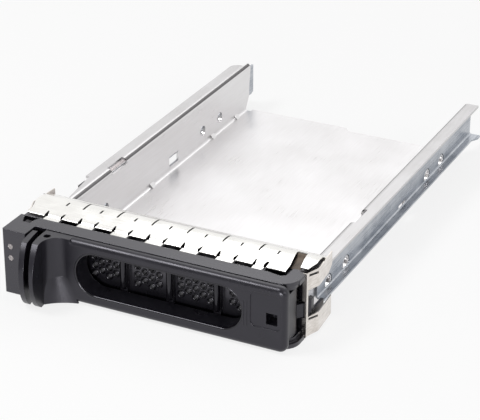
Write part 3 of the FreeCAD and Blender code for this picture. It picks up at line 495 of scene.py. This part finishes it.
@dataclass(frozen=True)
class Studio:
    """The white ground, soft lights and the camera at the photograph's angle.

    The camera's place, angles, focal length and centre were solved from the photograph's parallel edges.
    """

    azimuth: float = 26.415
    elevation: float = 26.159
    camera_place: tuple[float, float, float] = (0.28863, -0.60752, 0.33773)
    focal_px: float = 1854.7
    centre_right_px: float = -10.8
    centre_down_px: float = -9.9
    nearest: float = 0.05
    floor_size: float = 6.0
    floor_gap_mm: float = 0.3
    room_dim: float = 0.11
    dim_from: float = -0.9
    dim_to: float = 0.2
    fill: float = 0.4
    paper: StudioPaper = StudioPaper("studio_paper", "#f2f2f2", 0.8)
    soft_boxes: tuple[SoftBox, ...] = (
        SoftBox("key_softbox", (-0.45, -0.4, 0.85), 0.32, 0.32, 4.0),
        SoftBox("rear_softbox", (-0.04, 0.76, 0.84), 1.0, 0.5, 2.1),
        SoftBox("side_softbox", (0.9, -0.3, 0.5), 0.5, 0.3, 1.2),
        SoftBox("low_softbox", (0.15, -0.8, 0.12), 0.4, 0.14, 3.5),
    )

    def place_camera(self) -> None:
        """Puts the camera where the photograph was taken from."""
        azimuth = math.radians(self.azimuth)
        elevation = math.radians(self.elevation)
        back = Vector((
            math.sin(azimuth) * math.cos(elevation),
            -math.cos(azimuth) * math.cos(elevation),
            math.sin(elevation),
        ))
        right = Vector((math.cos(azimuth), math.sin(azimuth), 0.0))
        above = back.cross(right)
        data = bpy.data.cameras.new("photo_camera")
        data.sensor_width = SENSOR_WIDTH_MM
        data.lens = self.focal_px / PHOTO_WIDTH_PX * SENSOR_WIDTH_MM
        data.shift_x = -self.centre_right_px / PHOTO_WIDTH_PX
        data.shift_y = self.centre_down_px / PHOTO_WIDTH_PX
        data.clip_start = self.nearest
        camera = bpy.data.objects.new("photo_camera", data)
        turn = Matrix((right, above, back)).transposed().to_4x4()
        camera.matrix_world = Matrix.Translation(Vector(self.camera_place)) @ turn
        bpy.context.scene.collection.objects.link(camera)
        bpy.context.scene.camera = camera

    def light_world(self) -> None:
        """Gives the world an even pale light, white where it is seen, and a dim room before the caddy.

        The dim room is what the shiny faces at the front mirror.
        """
        world = bpy.data.worlds.new("studio_world")
        world.use_nodes = True
        tree = world.node_tree
        tree.nodes.clear()
        path = add_node(tree, "ShaderNodeLightPath")
        seen = add_node(
            tree, "ShaderNodeMath", {"operation": "MAXIMUM"},
            {0: path.outputs["Is Camera Ray"], 1: path.outputs["Is Transmission Ray"]},
        )
        place = add_node(tree, "ShaderNodeTexCoord")
        way = add_node(tree, "ShaderNodeSeparateXYZ", sockets={0: place.outputs["Generated"]})
        room = add_node(
            tree, "ShaderNodeMapRange", {"interpolation_type": "SMOOTHSTEP"},
            {"Value": way.outputs["Y"], "From Min": self.dim_from, "From Max": self.dim_to,
             "To Min": self.room_dim, "To Max": 1.0},
        )
        mirrored = add_node(
            tree, "ShaderNodeMath", {"operation": "MULTIPLY"},
            {0: path.outputs["Is Glossy Ray"], 1: room.outputs[0]},
        )
        shown = add_node(
            tree, "ShaderNodeMath", {"operation": "MAXIMUM"},
            {0: seen.outputs[0], 1: mirrored.outputs[0]},
        )
        strength = add_node(
            tree, "ShaderNodeMath", {"operation": "MAXIMUM"}, {0: shown.outputs[0], 1: self.fill},
        )
        sky = add_node(
            tree, "ShaderNodeBackground",
            sockets={"Color": (1.0, 1.0, 1.0, 1.0), "Strength": strength.outputs[0]},
        )
        add_node(tree, "ShaderNodeOutputWorld", sockets={"Surface": sky.outputs[0]})
        bpy.context.scene.world = world

    def lay_floor(self) -> None:
        """Lays the white ground under the caddy as one square of paper."""
        half = self.floor_size / 2.0
        low = -self.floor_gap_mm * MM
        corners = [(-half, -half, low), (half, -half, low), (half, half, low), (-half, half, low)]
        mesh = bpy.data.meshes.new("studio_floor")
        mesh.from_pydata(corners, [], [(0, 1, 2, 3)])
        floor = bpy.data.objects.new("studio_floor", mesh)
        floor.data.materials.append(self.paper.build())
        bpy.context.scene.collection.objects.link(floor)

    def build(self) -> None:
        """Builds the studio around the caddy."""
        bpy.context.scene.view_settings.view_transform = "Standard"
        self.light_world()
        self.lay_floor()
        for soft_box in self.soft_boxes:
            soft_box.build()
        self.place_camera()
        LOG.info("studio ready")


def thicken(piece: bpy.types.Object, thickness: float) -> None:
    """Gives an open sheet its thickness, under its faces.

    Args:
        piece: the object whose mesh is the sheet's upper side.
        thickness: the sheet's thickness in millimetres.
    """
    sheet = piece.modifiers.new("sheet", "SOLIDIFY")
    sheet.thickness = thickness * MM
    sheet.offset = -1.0
    graph = bpy.context.evaluated_depsgraph_get()
    piece.data = bpy.data.meshes.new_from_object(piece.evaluated_get(graph))
    piece.modifiers.clear()


def close_shape(name: str, mesh: bpy.types.Mesh) -> None:
    """Welds a closed shape's seams and poles, and turns its faces outwards.

    Args:
        name: the piece's name, for the log.
        mesh: the shape's mesh.
    """
    shape = bmesh.new()
    shape.from_mesh(mesh)
    bmesh.ops.remove_doubles(shape, verts=shape.verts, dist=WELD_MM * MM)
    bmesh.ops.recalc_face_normals(shape, faces=shape.faces)
    LOG.info("%s holds %.1f cubic mm", name, shape.calc_volume(signed=True) / MM ** 3)
    shape.to_mesh(mesh)
    shape.free()


def mesh_object(
    name: str, points: np.ndarray, faces: np.ndarray, sharp_degrees: float, thickness: float = 0.0
) -> bpy.types.Object:
    """Makes a finished mesh object at the origin, smooth apart from its sharp edges.

    Args:
        name: the piece's name.
        points: vertex places in millimetres, one row each.
        faces: vertex numbers, four to a row.
        sharp_degrees: edges that turn more than this stay sharp.
        thickness: sheet thickness in millimetres that is laid under the faces, or 0 for a closed shape.

    Returns:
        The object, linked to the scene.
    """
    mesh = bpy.data.meshes.new(name)
    mesh.from_pydata((points * MM).tolist(), [], faces.tolist())
    mesh.update()
    piece = bpy.data.objects.new(name, mesh)
    bpy.context.scene.collection.objects.link(piece)
    if thickness:
        thicken(piece, thickness)
    else:
        close_shape(name, mesh)
    piece.data.polygons.foreach_set("use_smooth", np.ones(len(piece.data.polygons), dtype=bool))
    piece.data.set_sharp_from_angle(angle=math.radians(sharp_degrees))
    return piece


def closed_grid(rows: int, columns: int) -> np.ndarray:
    """Numbers the faces of a grid that closes on itself both ways, as a tube's does along a loop.

    Args:
        rows: points along the path.
        columns: points round the tube.

    Returns:
        Face corners, four to a row.
    """
    row, column = np.meshgrid(np.arange(rows), np.arange(columns), indexing="ij")
    following, beside = (row + 1) % rows, (column + 1) % columns
    corners = [row * columns + column, row * columns + beside,
               following * columns + beside, following * columns + column]
    return np.stack([corner.ravel() for corner in corners], axis=1)


class FingerKind(Enum):
    """What a part of the top strip does at its front edge."""

    FREE = 0
    FOOT = 1
    END = 2
    WING = 3
    WINDOW = 4


@dataclass(frozen=True)
class TopStrip:
    """The spring strip over the roof: one stamped and rolled sheet.

    Every other finger is a foot that lies on the roof and has a waist behind it. The rest end free in a
    small hem. All meet in a crest, whose rear half carries long and short slits, and end in a lip.
    Lengths are in millimetres. X is from the caddy's middle, and depths are behind the lever's face. The
    lines give depth and height, and the lean and the spread give depth and sideways shift.
    """

    face: float = -95.0
    thickness: float = 0.3
    start: float = -49.0
    pitch: float = 7.2
    gap: float = 0.5
    fingers: int = 13
    last_short: float = 2.7
    left_wing: tuple[float, float] = (-57.4, -56.5)
    left_end: float = -56.4
    right_free: tuple[float, float] = (42.7, 49.3)
    window: tuple[float, float] = (49.35, 53.25)
    right_end: tuple[float, float] = (53.3, 56.8)
    right_wing: tuple[float, float] = (56.9, 57.4)
    wing_front: float = 27.1
    end_front: float = 16.0
    across: int = 9
    waist: float = 0.85
    waist_front: float = 12.62
    waist_rear: float = 15.2
    slits: int = 13
    slit_first: float = -44.55
    slit_pitch: float = 7.3
    slit_width: float = 0.7
    slit_front: float = 20.5
    slit_rear: float = 23.1
    long_slit_rear: float = 28.2
    slit_clear: float = 0.25
    nearly: float = 0.01
    lean_depths: tuple[float, ...] = (16.0, 27.2, 29.5)
    lean_sides: tuple[float, ...] = (45.0, 49.35, 53.25, 56.2)
    window_shift: float = 0.95
    window_middle: float = 21.6
    spread_depths: tuple[float, ...] = (15.5, 20.8, 27.2, 31.0)
    spread_by: tuple[float, ...] = (0.0, 1.7, 1.3, 0.9)
    spread_sides: tuple[float, ...] = (54.0, 56.8)
    foot_line: tuple[tuple[float, float], ...] = (
        (10.2, 26.25), (11.4, 26.27), (12.2, 26.28), (12.5, 26.34), (12.62, 26.44), (12.85, 26.7),
        (13.1, 26.95), (13.6, 27.1), (14.4, 27.23),
    )
    free_line: tuple[tuple[float, float], ...] = (
        (12.0, 26.35), (12.0, 26.5), (12.02, 26.65), (12.08, 26.8), (12.25, 26.92), (12.6, 27.0),
        (13.0, 27.06), (13.6, 27.14), (14.4, 27.25),
    )
    crest_line: tuple[tuple[float, float], ...] = (
        (15.2, 27.36), (16.1, 27.48), (17.0, 27.6), (18.2, 27.79), (19.4, 27.94), (20.5, 28.04),
        (21.3, 28.09), (22.2, 28.12), (23.1, 28.12), (24.2, 28.07), (25.2, 27.95), (26.2, 27.72),
        (27.2, 27.33), (28.2, 26.8), (29.0, 26.42), (29.9, 26.24), (30.6, 26.02), (30.95, 25.65),
        (31.02, 25.1), (31.02, 24.3), (31.02, 23.55),
    )
    tongue_line: tuple[tuple[float, float], ...] = (
        (15.9, 26.3), (18.0, 26.24), (22.0, 26.24), (23.6, 26.3), (24.6, 26.5), (25.5, 26.75),
        (26.5, 26.95), (27.3, 27.0),
    )
    tongue_sides: tuple[float, float] = (49.4, 53.2)
    tongue_thickness: float = 0.2

    def spans(self) -> list[tuple[float, float, FingerKind]]:
        """Lists the strip's parts from left to right.

        Returns:
            The left side, the right side and the kind of each part.
        """
        parts = [(*self.left_wing, FingerKind.WING),
                 (self.left_end, self.start - self.gap / 2, FingerKind.FREE)]
        for index in range(self.fingers):
            left = self.start + self.pitch * index + self.gap / 2
            short = self.last_short if index == self.fingers - 1 else 0.0
            right = left + self.pitch - self.gap - short
            parts.append((left, right, FingerKind.FOOT if index % 2 == 0 else FingerKind.FREE))
        parts += [(*self.right_free, FingerKind.FREE), (*self.window, FingerKind.WINDOW),
                  (*self.right_end, FingerKind.END), (*self.right_wing, FingerKind.WING)]
        return parts

    def columns(self) -> tuple[np.ndarray, np.ndarray, np.ndarray, np.ndarray]:
        """Lays out the grid's columns, with a pair at the sides of each part and of each slit.

        Returns:
            Each column's X, the number of its part, the part's middle and the number of its kind.
        """
        slits = np.concatenate([
            self.slit_first + self.slit_pitch * np.arange(self.slits) + side * self.slit_width / 2
            for side in (-1.0, 1.0)
        ])
        across, part, middle, kind = [], [], [], []
        for number, (left, right, what) in enumerate(self.spans()):
            inside = slits[(slits > left + self.nearly) & (slits < right - self.nearly)]
            even = np.linspace(left, right, self.across)
            clear = np.all(np.abs(even[:, None] - inside[None, :]) > self.slit_clear, axis=1)
            even = even[clear | (even == left) | (even == right)]
            places = np.sort(np.concatenate([even, inside]))
            across.append(places)
            part.append(np.full(places.size, number))
            middle.append(np.full(places.size, (left + right) / 2))
            kind.append(np.full(places.size, what.value))
        return tuple(np.concatenate(parts) for parts in (across, part, middle, kind))

    def sideways(self, across: np.ndarray, deep: np.ndarray) -> np.ndarray:
        """Works out how far the strip leans round its window and spreads at its ends.

        Args:
            across: each column's X.
            deep: each point's depth, one row for each row of the grid.

        Returns:
            Each point's shift along X.
        """
        lean = np.interp(deep, self.lean_depths, (self.window_shift, -self.window_shift, 0.0))
        lean = lean * np.interp(across, self.lean_sides, (0.0, 1.0, 1.0, 0.0))[None, :]
        spread = np.interp(deep, self.spread_depths, self.spread_by) * np.sign(across)[None, :]
        return lean + spread * np.interp(np.abs(across), self.spread_sides, (0.0, 1.0))[None, :]

    def in_slits(self, across: np.ndarray, near: np.ndarray) -> np.ndarray:
        """Finds the faces that the slits leave out.

        Args:
            across: each column's X.
            near: the depth of each face's front edge.

        Returns:
            True for each face that lies in a slit.
        """
        centre = (across[:-1] + across[1:])[None, :] / 2
        slit = np.round((centre - self.slit_first) / self.slit_pitch)
        away = np.abs(centre - self.slit_first - slit * self.slit_pitch)
        inside = (away < self.slit_width / 2 - self.nearly) & (slit >= 0) & (slit < self.slits)
        slit_end = np.where(slit % 2 == 1, self.long_slit_rear, self.slit_rear)
        return inside & (near >= self.slit_front - self.nearly) & (near < slit_end - self.nearly)

    def build(self) -> bpy.types.Object:
        """Builds the strip as one grid of columns across and rows back.

        Depth and height come from the foot's or the free finger's line, and then from the crest's. A foot's
        columns draw in behind its bar, from the waist's width to nothing. Faces are left out between the
        fingers, in the slits and in the window.

        Returns:
            The strip's object.
        """
        across, part, middle, kind = self.columns()
        foot = np.array(self.foot_line + self.crest_line)
        free = np.array(self.free_line + self.crest_line)
        is_foot = (kind == FingerKind.FOOT.value)[None, :]
        deep = np.where(is_foot, foot[:, 0:1], free[:, 0:1])
        high = np.where(is_foot, foot[:, 1:2], free[:, 1:2])
        drawn = self.waist * (self.waist_rear - deep) / (self.waist_rear - self.waist_front)
        behind = is_foot & (deep > self.waist_front - self.nearly)
        drawn = np.where(behind, np.clip(drawn, 0.0, self.waist), 0.0)
        half = (self.pitch - self.gap) / 2
        wide = across[None, :] - (across - middle)[None, :] / half * drawn
        points = np.stack([wide + self.sideways(across, deep), deep + self.face, high], axis=2)
        rows, count = deep.shape
        row, column = np.meshgrid(np.arange(rows - 1), np.arange(count - 1), indexing="ij")
        near = deep[:-1, :-1]
        keep = (part[:-1] == part[1:])[None, :] | (row >= len(self.foot_line))
        keep = keep & ~self.in_slits(across, near)
        for what, front in (
            (FingerKind.WING, self.wing_front), (FingerKind.END, self.end_front),
            (FingerKind.WINDOW, self.wing_front),
        ):
            touches = (kind[:-1] == what.value) | (kind[1:] == what.value)
            keep = keep & ~(touches[None, :] & (near < front))
        corners = [row * count + column, row * count + column + 1,
                   (row + 1) * count + column + 1, (row + 1) * count + column]
        faces = np.stack([corner[keep] for corner in corners], axis=1)
        used, faces = np.unique(faces, return_inverse=True)
        return mesh_object(
            "top_strip_sheet", points.reshape(-1, 3)[used], faces.reshape(-1, 4), SHARP_DEGREES,
            self.thickness,
        )

    def build_tongue(self) -> bpy.types.Object:
        """Builds the tongue that is bent down out of the window onto the roof, from one line.

        Returns:
            The tongue's object.
        """
        line = np.array(self.tongue_line)
        reach = self.lean_depths[1] - self.window_middle
        leant = self.window_shift * (line[:, 0:1] - self.window_middle) / reach
        wide = np.array(self.tongue_sides)[None, :] - leant
        points = np.stack([wide, np.repeat(line[:, 0:1], 2, axis=1) + self.face,
                           np.repeat(line[:, 1:2], 2, axis=1)], axis=2).reshape(-1, 3)
        low = np.arange(line.shape[0] - 1) * 2
        faces = np.stack([low, low + 1, low + 3, low + 2], axis=1)
        return mesh_object("strip_tongue", points, faces, SHARP_DEGREES, self.tongue_thickness)


@dataclass(frozen=True)
class VentWall:
    """What the eye catches on the wall behind the opening: rolled vent rims and round ribs.

    Lengths are in millimetres. The vents stand in columns of three, and every other column is higher.
    """

    face: float = -84.0
    columns: int = 22
    rows: int = 3
    first: float = -27.1
    step: float = 3.01
    low: float = 8.3
    rise: float = 1.75
    rim_radius: float = 1.22
    rim_wire: float = 0.34
    rim_steps: int = 20
    wire_steps: int = 10
    ribs: int = 3
    rib_first: float = -13.9
    rib_pitch: float = 19.3
    rib_radius: float = 1.5
    rib_reach: float = 2.0
    rib_clear: float = 2.85
    rib_low: float = 5.35
    rib_high: float = 21.65
    rib_forward: float = 1.4
    rib_steps: int = 33
    rib_sides: int = 24

    def rim_places(self) -> np.ndarray:
        """Works out where the vents are, staggered and clear of the ribs.

        Returns:
            The X and Z of each vent's middle.
        """
        column, row = np.meshgrid(np.arange(self.columns), np.arange(self.rows), indexing="ij")
        across = self.first + self.step * column
        up = self.low + self.rise * (row * 2 + column % 2)
        ribs = self.rib_first + self.rib_pitch * np.arange(self.ribs)
        clear = np.all(np.abs(across[..., None] - ribs) >= self.rib_clear, axis=2)
        return np.stack([across[clear], up[clear]], axis=1)

    def build_rims(self) -> bpy.types.Object:
        """Builds a ring round each vent: a circle of the wire's radius carried round the vent's circle.

        Returns:
            All the rims as one object.
        """
        turn, side = np.meshgrid(np.linspace(0, 2 * np.pi, self.rim_steps, endpoint=False),
                                 np.linspace(0, 2 * np.pi, self.wire_steps, endpoint=False),
                                 indexing="ij")
        out = self.rim_radius + self.rim_wire * np.cos(side)
        ring = np.stack([out * np.cos(turn), self.rim_wire * np.sin(side), out * np.sin(turn)], axis=2)
        places = self.rim_places()
        shift = np.stack([places[:, 0], np.full(len(places), self.face), places[:, 1]], axis=1)
        points = (ring.reshape(1, -1, 3) + shift[:, None, :]).reshape(-1, 3)
        faces = closed_grid(self.rim_steps, self.wire_steps)
        faces = self.repeat(faces, len(places), turn.size)
        return mesh_object("vent_rims", points, faces, ALL_SMOOTH_DEGREES)

    def build_ribs(self) -> bpy.types.Object:
        """Builds the round fronts of the ribs: upright columns, half sunk, whose ends close in a dome.

        Returns:
            All the ribs as one object.
        """
        along, side = np.meshgrid(np.linspace(-1, 1, self.rib_steps),
                                  np.linspace(0, 2 * np.pi, self.rib_sides, endpoint=False),
                                  indexing="ij")
        height = (self.rib_high - self.rib_low) / 2
        end = np.clip((np.abs(along) - 1 + self.rib_radius / height) * height / self.rib_radius, 0, 1)
        full = np.sqrt(np.clip(1 - end ** 2, 0, 1))
        ring = np.stack([
            self.rib_radius * full * np.cos(side), self.rib_reach * full * np.sin(side), along * height,
        ], axis=2)
        places = self.rib_first + self.rib_pitch * np.arange(self.ribs)
        middle = (self.rib_low + self.rib_high) / 2
        shift = np.stack([
            places, np.full(self.ribs, self.face - self.rib_forward), np.full(self.ribs, middle),
        ], axis=1)
        points = (ring.reshape(1, -1, 3) + shift[:, None, :]).reshape(-1, 3)
        faces = closed_grid(self.rib_steps, self.rib_sides)[: (self.rib_steps - 1) * self.rib_sides]
        faces = self.repeat(faces, self.ribs, along.size)
        return mesh_object("rib_fronts", points, faces, ALL_SMOOTH_DEGREES)

    @staticmethod
    def repeat(faces: np.ndarray, times: int, points: int) -> np.ndarray:
        """Numbers the faces of a shape that is repeated.

        Args:
            faces: the first shape's face corners.
            times: how many of the shape there are.
            points: how many points one shape has.

        Returns:
            The face corners of all of them.
        """
        return (faces[None] + points * np.arange(times)[:, None, None]).reshape(-1, faces.shape[1])


@dataclass(frozen=True)
class OpeningRim:
    """The rounded edge of the lever's finger opening. Lengths are in millimetres."""

    face: float = -95.0
    left: float = -29.0
    right: float = 38.7
    low: float = 5.0
    high: float = 22.0
    radius: float = 0.55
    inset: float = 0.5
    steps: int = 160
    sides: int = 16

    def build(self) -> bpy.types.Object:
        """Builds the edge: a small circle carried round the opening, half of it inside the lever.

        Returns:
            The rim's object.
        """
        bend = (self.high - self.low) / 2
        turn = np.linspace(0, 2 * np.pi, self.steps, endpoint=False)
        centre = np.where(np.cos(turn) > 0, self.right - bend, self.left + bend)
        normal = np.stack([np.cos(turn), np.sin(turn)], axis=1)
        middle = np.stack([centre, np.full(self.steps, (self.low + self.high) / 2)], axis=1)
        path = middle + bend * normal
        side = np.linspace(0, 2 * np.pi, self.sides, endpoint=False)
        out = self.inset + self.radius * np.cos(side)
        flat = path[:, None, :] + normal[:, None, :] * out[None, :, None]
        deep = self.face + self.inset + self.radius * np.sin(side)
        points = np.stack([flat[..., 0], np.broadcast_to(deep, flat.shape[:2]), flat[..., 1]], axis=2)
        faces = closed_grid(self.steps, self.sides)
        return mesh_object("opening_rim", points.reshape(-1, 3), faces, ALL_SMOOTH_DEGREES)


def dress_nodes(frame: dict[str, object], built: dict[str, bpy.types.Material]) -> None:
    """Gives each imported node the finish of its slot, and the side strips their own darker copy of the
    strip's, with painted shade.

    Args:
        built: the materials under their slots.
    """
    for part in frame["record"]["subparts"]:
        node = frame["nodes"][part["node"]]
        node.data.materials.clear()
        side = part["node"] in SIDE_STRIPS
        # The side strips take the darker copy of the strip finish: painted shade.
        node.data.materials.append(built["side_strip" if side else part["material_slot"]])
        LOG.info("dressed %s", part["node"])


def add_piece(
    piece: bpy.types.Object, body: str, material: bpy.types.Material, replaced: str = ""
) -> None:
    """Dresses a new piece and ties it to the body that carries it.

    Args:
        piece: the new piece.
        body: the body that it moves with.
        material: its finish.
        replaced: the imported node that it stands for, if any.
    """
    piece.data.materials.clear()
    piece.data.materials.append(material)
    if replaced:
        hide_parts(replaced)
    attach(piece, body)
    LOG.info("added %s with %d faces", piece.name, len(piece.data.polygons))


def main() -> None:
    """Builds the dressed caddy and its studio in order."""
    logging.basicConfig(level=logging.INFO, format="%(name)s: %(message)s")
    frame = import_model()
    Studio().build()
    built = {slot: finish.build() for slot, finish in Finishes().by_slot().items()}
    dress_nodes(frame, built)
    strip = TopStrip()
    add_piece(strip.build(), "frame", built["spring_strip"], "emi_strip_top")
    add_piece(strip.build_tongue(), "frame", built["tongue"])
    wall = VentWall()
    add_piece(wall.build_rims(), "frame", built["polished"])
    add_piece(wall.build_ribs(), "frame", built["polished"])
    add_piece(OpeningRim().build(), "lever", built["polished"])


if __name__ == "__main__":
    main()
